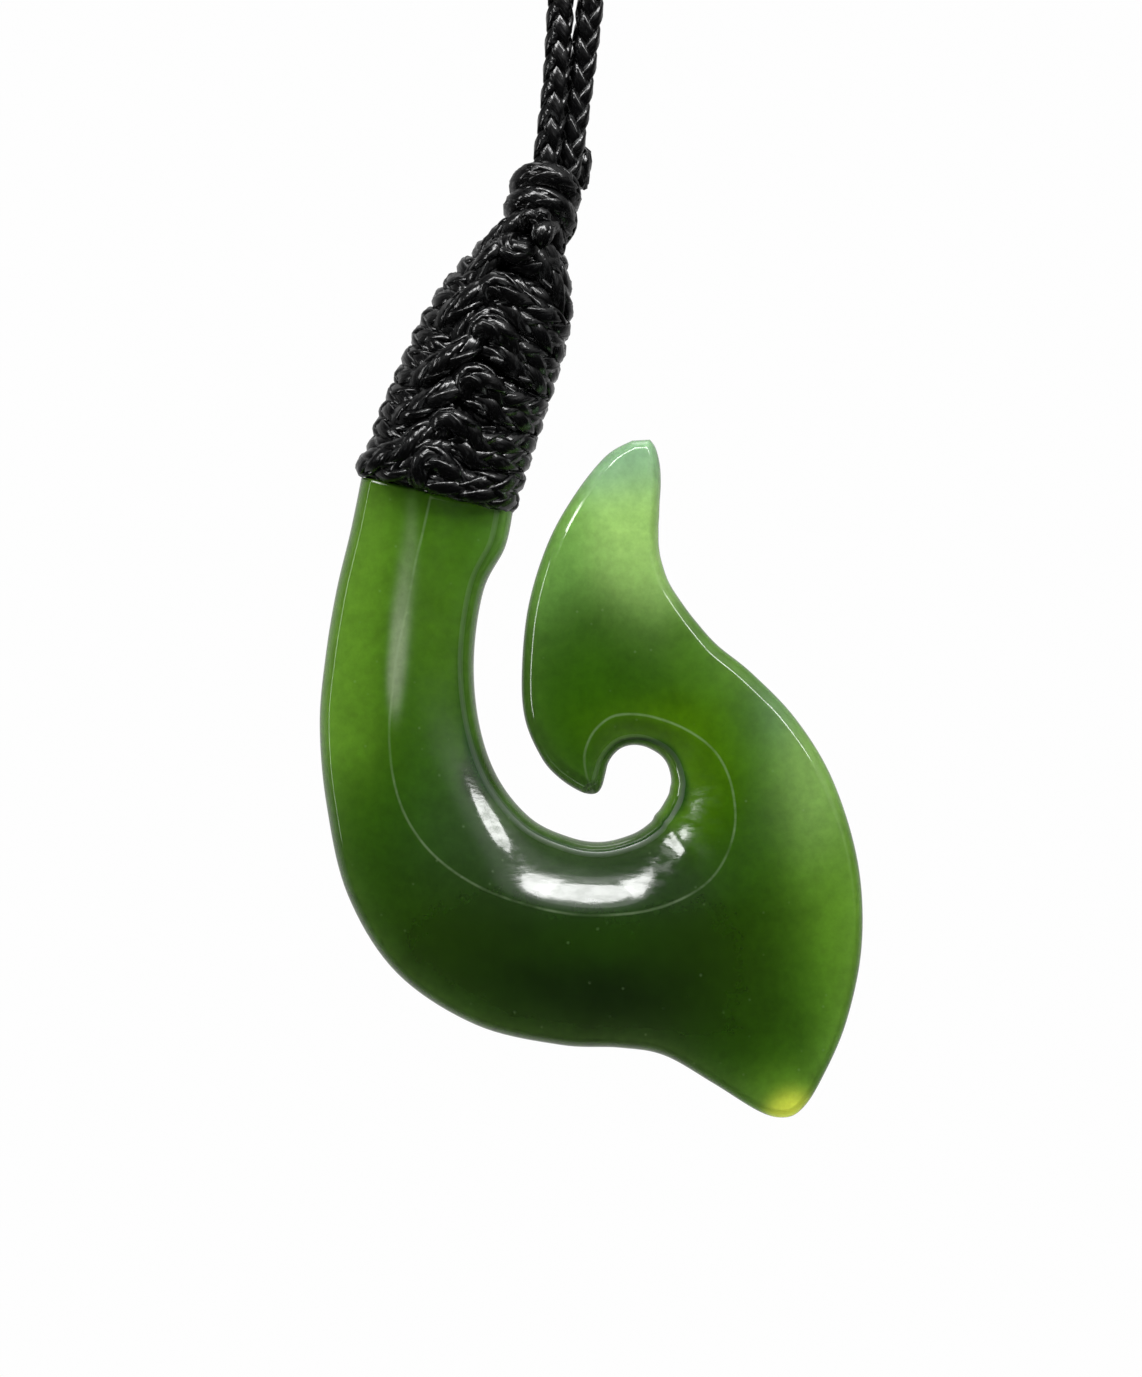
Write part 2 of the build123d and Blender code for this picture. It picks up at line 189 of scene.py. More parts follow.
# Painted shade: a dark line painted inside the opening's rim, where shade falls. Its places, how far in and
# how wide, in millimetres, and how dark
RimShade = namedtuple("RimShade", "x z offset width dark")
RIM_SHADES = list(starmap(RimShade, [
    (0.236, 0.450, 0.90, 0.30, 0.2),
    (0.249, 0.554, 1.00, 0.35, 0.4),
    (0.284, 0.632, 1.05, 0.45, 1.0),
    (0.341, 0.695, 0.80, 0.22, 0.8),
    (0.442, 0.719, 0.66, 0.17, 0.9),
    (0.506, 0.723, 0.78, 0.16, 1.0),
    (0.571, 0.716, 0.66, 0.17, 1.0),
    (0.626, 0.695, 0.80, 0.25, 0.9),
    (0.663, 0.666, 1.05, 0.42, 1.0),
    (0.648, 0.632, 0.80, 0.30, 0.9),
    (0.553, 0.607, 0.35, 0.20, 0.8),
    (0.488, 0.637, 0.35, 0.15, 0.3),
]))

# The width in millimetres of the dull line where the opening's rim ends
DULL_WIDTH = 0.16

# How many millimetres outside the scoop line the hidden shank counts as lying
FAR_OFF = 9.0

# How far a rounded edge turns, and the largest share of a section's width that one rim takes
RIM_TURN = radians(76)
RIM_SHARE = 0.4

# How finely the stone is meshed, with the rows over a rim at shares of its width
ROW_STEPS = 9
SHANK_SECTIONS = 19
MIDDLE_STEPS = 92
RIM_STOPS = (0.0, 0.015, 0.06, 0.14, 0.26, 0.42, 0.60, 0.78, 0.92, 1.0, 1.1, 1.25)

# The binding's stations along the shank, from its lower edge up to the knot
Station = namedtuple("Station", "x z half_width depth tilt")
BINDING = [
    Station(0.217, 0.348, 0.500, 0.39, 13),
    Station(0.243, 0.299, 0.500, 0.39, 18),
    Station(0.271, 0.256, 0.488, 0.38, 20),
    Station(0.298, 0.215, 0.475, 0.37, 20),
    Station(0.328, 0.174, 0.450, 0.35, 20),
    Station(0.356, 0.135, 0.388, 0.31, 17),
    Station(0.376, 0.094, 0.262, 0.20, 13),
]
KNOT_TOP = (0.426, 0.000)
KNOT_TILT = 9
STRANDS_SHARE = 0.438

# One side of the neck loop, from the knot up to the turn at the top
Bend = namedtuple("Bend", "rise lean half_gap twist")
LOOP_SIDE = list(starmap(Bend, [
    (0.000, 1.00, 0.000, 0.62),
    (0.015, 0.78, 0.000, 0.58),
    (0.032, 0.62, 0.000, 0.10),
    (0.053, 0.45, 0.005, 0.00),
    (0.090, 0.22, 0.021, 0.00),
    (0.150, 0.05, 0.064, 0.00),
    (0.245, 0.00, 0.155, 0.00),
    (0.380, 0.00, 0.275, 0.00),
    (0.530, 0.00, 0.378, 0.00),
    (0.680, 0.00, 0.442, 0.00),
    (0.820, 0.00, 0.456, 0.00),
    (0.930, 0.00, 0.408, 0.00),
    (1.000, 0.00, 0.190, 0.00),
]))

# The steps along the loop's route, and how many points from its end show which way it runs
LOOP_STEPS = 40
END_POINTS = 4

# The braid: carriers each way, each over two others and under two, with widths as shares of the cord's radius
# and the lay as a share of its diameter. FLATNESS flattens the wave, and LAY_OFFSET shifts the streaks.
CARRIERS = 4
CROSSINGS = 4
BRAID_LAY = 3.6
CARRIER_WIDTH = 0.56
CARRIER_THICKNESS = 0.30
CARRIER_WAVE = 0.15
FLATNESS = 1.6
LAY_OFFSET = 0.013
BRAID_STEPS = 24
CARRIER_SIDES = 6

# How flat a wound cord is pressed, as a share of its diameter
PRESSED = 0.68

# Two directions run nearly alike when their cross product is shorter than this
NEARLY_ALIKE = 0.2

# The steps from each place of a strand's path to the next
STRAND_STEPS = 10


def place(x_share, z_share):
    """Where a point given in shares lies, as x and z."""
    return (x_share - PLUMB_SHARE) * HOOK_WIDTH, -LOOP_DROP - z_share * PENDANT_HEIGHT


def placed(rows):
    """The same for rows that begin with the two shares."""
    return np.stack(place(rows[:, 0], rows[:, 1]), axis=1)


def shares(x, z):
    """The shares that give a point: place turned round."""
    return x / HOOK_WIDTH + PLUMB_SHARE, -(z + LOOP_DROP) / PENDANT_HEIGHT


def curved(before, start, end, after, share):
    """A smooth curve from start to end, at a share of the way."""
    bend = 2 * before - 5 * start + 4 * end - after
    twist = 3 * (start - end) + after - before
    return start + 0.5 * share * (end - before + share * (bend + share * twist))


def through(rows, steps):
    """Rows along a smooth curve through rows, in so many steps from each to the next."""
    rows = np.array(rows, float)
    padded = np.vstack([rows[:1], rows, rows[-1:]])
    share = (np.arange(steps) / steps)[:, None]
    spans = [curved(*span, share) for span in zip(padded, padded[1:], padded[2:], padded[3:])]
    return np.vstack(spans + [rows[-1:]])


def even(points, spacing):
    """The same line, with its points evenly spaced."""
    reach = np.concatenate([[0], np.cumsum(np.linalg.norm(np.diff(points[:, :3], axis=0), axis=1))])
    stops = np.linspace(0, reach[-1], max(2, int(reach[-1] / spacing) + 1))
    return np.stack([np.interp(stops, reach, column) for column in points.T], axis=1)


def nearness(points, line):
    """How far each point lies from a line of straight runs, changing smoothly even round its bends."""
    total = np.zeros(len(points))
    for start, run in zip(line, np.diff(line, axis=0)):
        length = np.hypot(*run)
        if length > 0:
            offset = points - start
            before = offset @ run / length
            after = before - length
            beside = np.maximum((offset @ np.array([-run[1], run[0]]) / length) ** 2, LEAST ** 2)
            total += (before / np.sqrt(beside + before ** 2) - after / np.sqrt(beside + after ** 2)) / beside
    return np.sqrt(2 / total)


def blended(points, line, values):
    """The values of a line's points, blended over other points by their distance."""
    total = np.zeros(len(points))
    blend = np.zeros((len(points), values.shape[1]))
    for at, row in zip(line, values):
        share = 1 / (((points - at) ** 2).sum(axis=1) + BLEND_REACH ** 2) ** 2
        total += share
        blend += np.outer(share, row)
    return (blend / total[:, None]).T


def distance(points, line):
    """How far each point lies from a line of straight runs."""
    nearest = np.full(len(points), np.inf)
    for start, run in zip(line, np.diff(line, axis=0)):
        offset = points - start
        share = np.clip(offset @ run / max(run @ run, LEAST ** 2), 0, 1)
        nearest = np.minimum(nearest, ((offset - share[:, None] * run) ** 2).sum(axis=1))
    return np.sqrt(nearest)


def inside(points, ring):
    """Which points lie inside a closed ring."""
    found = np.zeros(len(points), bool)
    x, z = points.T
    for (ax, az), (bx, bz) in zip(ring, np.roll(ring, -1, axis=0)):
        if az != bz:
            crosses = (az > z) != (bz > z)
            found ^= crosses & (x < ax + (z - az) * (bx - ax) / (bz - az))
    return found


def tube_faces(rows, around, first=0):
    """The faces of a closed tube of so many rings, with a face over each end."""
    index = first + np.arange(rows * around).reshape(rows, around)
    beside = np.roll(index, -1, axis=1)
    quads = np.stack([index[:-1], beside[:-1], beside[1:], index[1:]], axis=-1).reshape(-1, 4)
    return quads.tolist() + [index[0, ::-1].tolist(), index[-1].tolist()]


def new_object(name, data):
    """An object in the scene."""
    added = bpy.data.objects.new(name, data)
    bpy.context.scene.collection.objects.link(added)
    return added


def new_piece(name, points, faces, material, replaced=(), uv=None, fields=None):
    """A smooth mesh piece on the part's one body, with the fields that its material reads."""
    mesh = bpy.data.meshes.new(name)
    mesh.from_pydata(np.asarray(points, float).tolist(), [], faces)
    mesh.shade_smooth()
    if uv is not None:
        corners = np.empty(len(mesh.loops), np.int32)
        mesh.loops.foreach_get("vertex_index", corners)
        mesh.uv_layers.new(name="lay").data.foreach_set("uv", np.asarray(uv, np.float32)[corners].ravel())
    for field, values in (fields or {}).items():
        kind, key = ("FLOAT_COLOR", "color") if values.ndim == 2 else ("FLOAT", "value")
        attribute = mesh.attributes.new(field, kind, "POINT")
        attribute.data.foreach_set(key, values.astype(np.float32).ravel())
    mesh.materials.append(material)
    piece = new_object(name, mesh)
    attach(piece, "root")
    if replaced:
        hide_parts(*replaced)


# Materials
def new_material(name):
    """An empty node material, its tree and its main shader."""
    material = bpy.data.materials.new(name)
    material.use_nodes = True
    tree = material.node_tree
    return material, tree, tree.nodes["Principled BSDF"]


def feed(tree, value, socket):
    """Links a socket to an input, or sets a value on the input itself."""
    if isinstance(value, bpy.types.NodeSocket):
        tree.links.new(value, socket)
    else:
        socket.default_value = value


def feed_all(tree, node, **inputs):
    """Feeds a node's inputs by name, with a space for each underscore."""
    for key, value in inputs.items():
        feed(tree, value, node.inputs[key.replace("_", " ")])


def add_node(tree, kind, settings=None, **inputs):
    """A shader node with its settings and its inputs."""
    node = tree.nodes.new("ShaderNode" + kind)
    for key, value in (settings or {}).items():
        setattr(node, key, value)
    feed_all(tree, node, **inputs)
    return node


def mesh_field(tree, name, output="Fac"):
    """A field that the mesh carries."""
    return add_node(tree, "Attribute", {"attribute_name": name}).outputs[output]


def noise(tree, where, settings=None, **inputs):
    """The grey levels of a noise texture."""
    return add_node(tree, "TexNoise", settings, Vector=where, **inputs).outputs["Fac"]


def calculated(tree, operation, first, second=0.0):
    """The result of a sum on sockets or numbers."""
    node = add_node(tree, "Math", {"operation": operation})
    feed(tree, first, node.inputs[0])
    feed(tree, second, node.inputs[1])
    return node.outputs[0]


def joined(tree, mode, factor, first, second):
    """A mix of two colours, by a socket or a number."""
    node = add_node(tree, "Mix", {"data_type": "RGBA", "blend_type": mode})
    for index, value in ((0, factor), (6, first), (7, second)):
        feed(tree, value, node.inputs[index])
    return node.outputs[2]


def product(tree, first, second):
    """Two colours, one multiplied by the other."""
    return joined(tree, "MULTIPLY", 1.0, first, second)


def ramp(tree, source, stops):
    """A colour ramp, with its stops as pairs of place and grey level or colour."""
    node = add_node(tree, "ValToRGB", Fac=source)
    elements = node.color_ramp.elements
    while len(elements) < len(stops):
        elements.new(0.5)
    for element, (at, colour) in zip(elements, stops):
        element.position = at
        element.color = colour if isinstance(colour, tuple) else (colour, colour, colour, 1)
    return node.outputs["Color"]


# The colours of the stone's flecks and of the painted highlight along its crease, and the brushing's
# direction, fineness and roughness
FLECK = (0.30, 0.42, 0.22, 1)
CREASE_HIGHLIGHT = (0.34, 0.45, 0.26, 1)
BRUSHING_TURN = radians(25)
BRUSHING_SCALE = (900.0, 900.0, 2300.0)
BRUSHED = (0.21, 0.21, 0.21, 1)


def stone_material():
    """Polished nephrite: clouded green, with pale flecks and a clear polish."""
    material, tree, shader = new_material("greenstone")
    where = add_node(tree, "TexCoord").outputs["Object"]
    tint = mesh_field(tree, "tint", "Color")
    clouds = noise(tree, where, Scale=170.0, Detail=5.0, Roughness=0.60, Distortion=0.8)
    fibres = noise(tree, where, Scale=1300.0, Detail=4.0, Roughness=0.7)
    flecks = add_node(tree, "TexVoronoi", {"feature": "F1"}, Vector=where, Scale=700.0)
    cloudy = ramp(tree, clouds, ((0.30, 0.82), (0.50, 1.0), (0.70, 1.15)))
    grain = ramp(tree, fibres, ((0.36, 0.91), (0.50, 1.0), (0.66, 1.10)))
    spots = ramp(tree, flecks.outputs["Distance"], ((0.0, 0.16), (0.06, 0.05), (0.10, 0.0)))
    colour = joined(tree, "MIX", spots, product(tree, product(tree, tint, cloudy), grain), FLECK)

    # A painted highlight: a pale line painted along the fine crease of the scoop, broken here and there
    crease = mesh_field(tree, "crease")
    line = ramp(tree, calculated(tree, "ABSOLUTE", crease), ((0.03, 0.22), (0.13, 0.0)))
    broken = ramp(tree, clouds, ((0.40, 0.25), (0.56, 1.0)))
    colour = joined(tree, "MIX", product(tree, line, broken), colour, CREASE_HIGHLIGHT)

    # The fine brushing left inside the scoop, and the dull line along the opening's rim
    turned = add_node(tree, "Mapping", Vector=where, Rotation=(0, BRUSHING_TURN, 0), Scale=BRUSHING_SCALE)
    scratches = noise(tree, turned.outputs["Vector"], Scale=1.0, Detail=3.0, Roughness=0.6)
    dull = mesh_field(tree, "dull")
    scooped = ramp(tree, crease, ((0.3, 0.0), (1.0, 1.0)))
    scooped = product(tree, scooped, ramp(tree, dull, ((0.0, 1.0), (0.1, 0.0))))
    brushed = product(tree, ramp(tree, scratches, ((0.40, 0.0), (0.62, 1.0))), scooped)
    rough = joined(tree, "MIX", brushed, ramp(tree, dull, ((0.1, 0.10), (0.6, 0.55))), BRUSHED)
    coat = ramp(tree, dull, ((0.1, 0.4), (0.6, 0.0)))

    # The slight waves of the polish, with the brushing's marks on them
    waves = noise(tree, where, Scale=420.0, Detail=2.0, Roughness=0.5)
    polish = add_node(tree, "Bump", Strength=0.05, Distance=0.0004, Height=waves).outputs["Normal"]
    marks = add_node(tree, "Bump", Strength=0.22, Distance=0.000012, Height=brushed, Normal=polish)
    feed_all(tree, shader, Base_Color=colour, Roughness=rough, IOR=1.61, Subsurface_Weight=0.15,
             Subsurface_Radius=(0.55, 1.0, 0.30), Subsurface_Scale=0.0016, Coat_Weight=coat,
             Coat_Roughness=0.03, Normal=marks.outputs["Normal"], Coat_Normal=polish)
    return material


# The nylon's two blacks, the pale colour of its wax and painted glints, and how fine its streaks are along
# the cord
BLACKS = ((0.3, (0.0008, 0.0008, 0.0009, 1)), (0.7, (0.0022, 0.0022, 0.0025, 1)))
WAX_GLINT = (0.09, 0.093, 0.093, 1)
STREAKS = 1100.0


def cord_material(name, filaments, gloss, edges):
    """Waxed black nylon, with fine streaks along each carrier, and pale wax with painted glints in thin
    streaks on its edges.
    """
    material, tree, shader = new_material(name)
    lay = add_node(tree, "UVMap", {"uv_map": "lay"}).outputs["UV"]
    where = add_node(tree, "TexCoord").outputs["Object"]
    stretched = add_node(tree, "Mapping", Vector=lay, Scale=(STREAKS, filaments, 1.0)).outputs["Vector"]
    threads = noise(tree, stretched, {"noise_dimensions": "2D"}, Scale=1.0, Detail=2.0, Roughness=0.5)
    streaks = ramp(tree, threads, ((0.50, 0.0), (0.60, 1.0)))
    wax = noise(tree, where, Scale=900.0, Detail=2.0, Roughness=0.5)

    # How far a point lies towards its carrier's edge: the lay runs from half to one and a half either way
    sideways = calculated(tree, "ABSOLUTE", add_node(tree, "SeparateXYZ", Vector=lay).outputs["Y"])
    from_middle = calculated(tree, "ABSOLUTE", calculated(tree, "SUBTRACT", sideways, 1.0))
    edge = ramp(tree, from_middle, ((0.30, 0.15), (0.44, 1.0)))
    patchy = ramp(tree, wax, ((0.46, 0.0), (0.58, edges)))
    # Painted glints: pale wax colour painted in streaks along the carriers' edges
    waxed = product(tree, product(tree, edge, patchy), streaks)
    colour = joined(tree, "MIX", waxed, ramp(tree, threads, BLACKS), WAX_GLINT)
    rough = ramp(tree, streaks, ((0.0, gloss + 0.24), (1.0, gloss)))
    bump = add_node(tree, "Bump", Strength=1.0, Distance=0.00004, Height=threads).outputs["Normal"]
    feed_all(tree, shader, Base_Color=colour, Roughness=rough, IOR=1.30, Coat_Weight=0.8, Coat_Roughness=0.07,
             Normal=bump, Coat_Normal=bump)
    return material


# The stone
def station_at(share):
    """The binding's centre, half width, half depth and tilt at a share of its height."""
    rows = np.array(BINDING)
    position = share * (len(rows) - 1)
    start = int(min(max(position, 0), len(rows) - 2))
    nearby = (rows[min(max(start + step, 0), len(rows) - 1)] for step in (-1, 0, 1, 2))
    station = Station(*curved(*nearby, position - start))
    x, z = place(station.x, station.z)
    half_depth = station.depth * STONE_THICKNESS + BINDING_CLEARANCE + BINDING_CORD
    return x, z, station.half_width * BINDING_WIDTH, half_depth, radians(station.tilt)


def seat_row():
    """The stone's first section, on the binding's lower edge."""
    x, z, half_width, _, tilt = station_at(0)
    x -= SEAT_GAP * sin(tilt)
    z -= SEAT_GAP * cos(tilt)
    half_width -= SHOULDER_INSET
    outer = shares(x - half_width * cos(tilt), z + half_width * sin(tilt))
    inner = shares(x + half_width * cos(tilt), z - half_width * sin(tilt))
    return Section(*outer, *inner, **SHOULDER)


def across(width, outer_rim, inner_rim):
    """Shares across a section, close together over its two rims."""
    outer = min(outer_rim, RIM_SHARE * width / RIM_STOPS[-1]) * np.array(RIM_STOPS)
    inner = width - min(inner_rim, RIM_SHARE * width / RIM_STOPS[-1]) * np.array(RIM_STOPS)[::-1]
    middle = np.linspace(outer[-1], inner[0], MIDDLE_STEPS + 1)[1:-1]
    return np.concatenate([outer, middle, inner]) / width


def rounded(reach, rim):
    """How much of its height a rounded edge has, by the distance in from it."""
    share = np.clip(reach / rim, 0, 1)
    return np.sin(np.arccos(1 - share * (1 - cos(RIM_TURN)))) / sin(RIM_TURN)


def stone_heights(points, rows, outer_line, inner_line):
    """Half the stone's thickness at each point, and the marks that its colour and polish follow."""
    scoop_rows = through(SCOOP_LINE, LINE_STEPS)
    ridge_rows = through(POINT_RIDGE, LINE_STEPS)
    scoop_line = placed(scoop_rows)
    ridge_line = placed(ridge_rows)

    # Each line's edge and rim. The inner line is the opening's as far as the corner of the point.
    outer_values, inner_values = rows[:, 4::2], rows[:, 5::2]
    corner = np.argmin(np.linalg.norm(inner_line - scoop_line[-1], axis=1))
    opening_line = inner_line[:corner + 1]
    rim_line = np.vstack([outer_line, inner_line[:corner:-1]])
    in_scoop = inside(points, np.vstack([scoop_line, opening_line[::-1]]))

    crest, scoop, start = blended(points, np.vstack([scoop_line, ridge_line]),
                                  np.vstack([scoop_rows, ridge_rows])[:, 2:])
    rim_edge, rim_width = blended(points, rim_line, np.vstack([outer_values, inner_values[:corner:-1]]))
    opening_edge, opening_width = blended(points, opening_line, inner_values[:corner + 1])

    to_line = nearness(points, scoop_line)
    to_ridge = 1 / np.sqrt(1 / to_line ** 2 + 1 / nearness(points, ridge_line) ** 2)
    to_rim = nearness(points, rim_line)
    outside = rim_edge + (crest - rim_edge) * np.sin(pi / 2 * to_rim / (to_rim + to_ridge))
    depth = to_line / (to_line + nearness(points, opening_line))
    carved = 1 - (1 - depth ** start) ** SCOOP_END
    domed = 1 - np.cos(pi / 2 * depth)
    within = crest - (crest - opening_edge) * (domed + (carved - domed) * scoop)
    face = np.where(in_scoop, within, outside)

    from_rim = distance(points, rim_line)
    from_opening = distance(points, opening_line)
    rim = rounded(from_rim, rim_width * MM) * rounded(from_opening, opening_width * MM)
    raised = SEAM_HEIGHT * np.exp(-(distance(points, placed(np.array(SEAM))) / SEAM_WIDTH) ** 2)
    # The painted shade inside the opening's rim, blended along its table
    rim_shades = np.array(RIM_SHADES)
    offset, width, dark = blended(points, placed(rim_shades), rim_shades[:, 2:])
    marks = {"edge": np.minimum(from_rim, from_opening),
             "crease": np.where(in_scoop, 1, -1) * distance(points, scoop_line) / MM,
             "rim_shade": dark * np.exp(-((from_opening / MM - offset) / width) ** 2),
             "dull": np.exp(-((from_opening / MM - opening_width) / DULL_WIDTH) ** 2)}
    return STONE_THICKNESS / 2 * face * rim + raised, marks


# The stone's colours, in linear light, and the soft patches where they lie, on a faint ground of moss. The
# patches are partly the stone's own clouding and partly painted light: painted glow where the thin barb, the
# fluke's right margin and the point's tip let light through, and painted shade over the thick bottom.
DEEP = (0.005, 0.014, 0.002)
BOTTLE = (0.012, 0.036, 0.001)
MOSS = (0.019, 0.068, 0.001)
LEAF = (0.042, 0.125, 0.006)
FERN = (0.088, 0.210, 0.014)
LIME = (0.280, 0.480, 0.130)
MILK = (0.210, 0.380, 0.250)
OLIVE = (0.045, 0.120, 0.000)
GOLD = (0.720, 0.760, 0.070)
SMOKE = (0.022, 0.045, 0.016)
SHADE = (0.010, 0.040, 0.006)
SAGE = (0.130, 0.290, 0.055)
RIDGE_HIGHLIGHT = (0.240, 0.300, 0.180)
Patch = namedtuple("Patch", "x z width height colour weight")
PATCHES = list(starmap(Patch, [
    (0.07, 0.43, 0.06, 0.06, FERN, 1.2),
    (0.04, 0.52, 0.05, 0.07, FERN, 1.2),
    (0.05, 0.61, 0.05, 0.05, FERN, 0.8),
    (0.09, 0.69, 0.08, 0.04, MOSS, 2.4),
    (0.17, 0.48, 0.05, 0.10, MOSS, 1.0),
    (0.24, 0.46, 0.06, 0.08, LEAF, 1.0),
    # Painted highlight: a pale streak painted down the shank's ridge
    (0.170, 0.415, 0.008, 0.030, RIDGE_HIGHLIGHT, 0.6),
    (0.157, 0.460, 0.008, 0.026, RIDGE_HIGHLIGHT, 2.0),
    (0.147, 0.502, 0.008, 0.024, RIDGE_HIGHLIGHT, 5.0),
    (0.139, 0.540, 0.007, 0.018, RIDGE_HIGHLIGHT, 4.0),
    (0.092, 0.420, 0.030, 0.050, FERN, 0.7),
    (0.205, 0.480, 0.035, 0.060, FERN, 0.9),
    (0.23, 0.60, 0.07, 0.07, MOSS, 1.0),
    (0.24, 0.70, 0.08, 0.04, SMOKE, 1.2),
    (0.14, 0.77, 0.09, 0.04, BOTTLE, 1.0),
    (0.11, 0.775, 0.05, 0.03, MOSS, 0.9),
    (0.26, 0.80, 0.10, 0.05, BOTTLE, 1.0),
    (0.26, 0.90, 0.12, 0.03, MOSS, 0.6),
    (0.42, 0.92, 0.12, 0.02, BOTTLE, 0.8),
    (0.51, 0.875, 0.17, 0.052, DEEP, 2.4),
    (0.52, 0.815, 0.08, 0.020, MOSS, 1.0),
    (0.50, 0.75, 0.14, 0.03, SMOKE, 1.2),
    (0.297, 0.643, 0.014, 0.011, DEEP, 30.0),
    (0.70, 0.84, 0.08, 0.05, BOTTLE, 1.2),
    (0.76, 0.92, 0.07, 0.04, MOSS, 0.8),
    (0.86, 0.970, 0.05, 0.018, FERN, 1.0),
    (0.87, 0.995, 0.022, 0.012, GOLD, 2.4),
    (0.89, 0.87, 0.06, 0.06, LEAF, 0.9),
    (0.97, 0.80, 0.04, 0.09, FERN, 1.4),
    (0.90, 0.65, 0.040, 0.045, LIME, 0.9),
    (0.85, 0.575, 0.03, 0.03, MILK, 0.2),
    (0.89, 0.72, 0.05, 0.06, FERN, 0.9),
    (0.885, 0.650, 0.045, 0.035, FERN, 0.8),
    (0.80, 0.710, 0.05, 0.05, MOSS, 3.0),
    (0.81, 0.83, 0.05, 0.06, BOTTLE, 1.6),
    (0.72, 0.64, 0.05, 0.04, OLIVE, 1.6),
    (0.61, 0.585, 0.07, 0.018, OLIVE, 1.2),
    (0.80, 0.60, 0.06, 0.04, LEAF, 1.0),
    (0.70, 0.50, 0.05, 0.03, FERN, 0.6),
    (0.54, 0.510, 0.07, 0.040, MOSS, 4.2),
    (0.70, 0.505, 0.03, 0.025, LEAF, 2.5),
    (0.43, 0.55, 0.05, 0.06, MOSS, 1.0),
    (0.44, 0.42, 0.05, 0.05, SAGE, 1.4),
    (0.585, 0.40, 0.05, 0.05, LIME, 2.8),
    (0.57, 0.31, 0.06, 0.025, MILK, 1.9),
]))
GROUND = 0.02

# How strongly the painted glow of light through the stone's thin edges makes them pale, and how far in
EDGE_GLOW = 0.16
EDGE_REACH = 0.9 * MM


def stone_tint(points, marks):
    """The stone's base colour at each point: its soft patches, partly its own clouding and partly painted
    light, with a painted glow on its thin edges and a painted line of shade inside the opening's rim.
    """
    x, z = shares(points[:, 0], points[:, 1])
    total = np.full(len(points), GROUND)
    colour = np.outer(total, MOSS)
    for patch in PATCHES:
        far = ((x - patch.x) / patch.width) ** 2 + ((z - patch.z) / patch.height) ** 2
        share = patch.weight * np.exp(-far / 2)
        total = total + share
        colour = colour + np.outer(share, patch.colour)
    colour = colour / total[:, None]
    # Painted glow: the thin edges painted paler, as if light came through them
    glow = (EDGE_GLOW * np.exp(-marks["edge"] / EDGE_REACH))[:, None]
    colour = colour * (1 - glow) + np.array(LIME) * glow
    # Painted shade: the dark line inside the opening's rim
    rim_shade = marks["rim_shade"][:, None]
    colour = colour * (1 - rim_shade) + np.array(SHADE) * rim_shade
    return np.hstack([colour, np.ones((len(colour), 1))])


def all_round(front, back, wide):
    """Values for whole rings: each section's front, and then its back, the other way."""
    sections = (-1, wide) + front.shape[1:]
    rings = np.concatenate([front.reshape(sections), back.reshape(sections)[:, -2:0:-1]], axis=1)
    return rings.reshape((-1,) + front.shape[1:])


def make_stone(material):
    """The carved stone and the oval shank inside the binding, as one closed mesh."""
    rows = through([seat_row()] + STONE, ROW_STEPS)
    outer = placed(rows)
    inner = placed(rows[:, 2:])
    widths = np.linalg.norm(inner - outer, axis=1)
    stops = np.array([across(width, *rims) for width, rims in zip(widths, rows[:, -2:] * MM)])
    points = (outer[:, None] + stops[:, :, None] * (inner - outer)[:, None]).reshape(-1, 2)
    heights, marks = stone_heights(points, rows, outer, inner)
    tint = stone_tint(points, marks)
    wide = stops.shape[1]

    # The shank's sections, from its top down to the shoulder
    wrap = BINDING_CORD + BINDING_CLEARANCE
    shank_points, shank_heights = [], []
    for share in np.linspace(1, 0, SHANK_SECTIONS):
        x, z, half_width, half_depth, tilt = station_at(share)
        run = 1 - np.cos(np.linspace(0, pi, wide))
        offset = (run - 1) * (half_width - wrap)
        shank_points.append(np.stack([x + offset * cos(tilt), z - offset * sin(tilt)], axis=1))
        shank_heights.append((half_depth - wrap) * np.sqrt(np.clip(1 - (run - 1) ** 2, 0, 1)))
    points = np.vstack(shank_points + [points])
    heights = np.concatenate(shank_heights + [heights])
    hidden = SHANK_SECTIONS * wide
    fields = {"tint": np.vstack([np.tile((*MOSS, 1), (hidden, 1)), tint]),
              "crease": np.concatenate([np.full(hidden, -FAR_OFF), marks["crease"]]),
              "dull": np.concatenate([np.zeros(hidden), marks["dull"]])}

    front = np.stack([points[:, 0], -heights, points[:, 1]], axis=1)
    back = front * (1, -1, 1)
    fields = {name: all_round(values, values, wide) for name, values in fields.items()}
    faces = tube_faces(SHANK_SECTIONS + len(rows), 2 * wide - 2)
    new_piece("stone_hook_carved", all_round(front, back, wide), faces, material, ["stone_hook"],
              fields=fields)


# Braided cords
def directions(path):
    """The direction of a path at each point, and two directions across it that don't spin."""
    along = np.gradient(path, axis=0)
    along /= np.linalg.norm(along, axis=1)[:, None]
    side = np.cross(along[0], (0.0, 1.0, 0.0))
    if np.linalg.norm(side) < NEARLY_ALIKE:
        side = np.cross(along[0], (1.0, 0.0, 0.0))
    sides = []
    for direction in along:
        side = side - direction * (side @ direction)
        side = side / np.linalg.norm(side)
        sides.append(side)
    sides = np.array(sides)
    return along, sides, np.cross(along, sides)


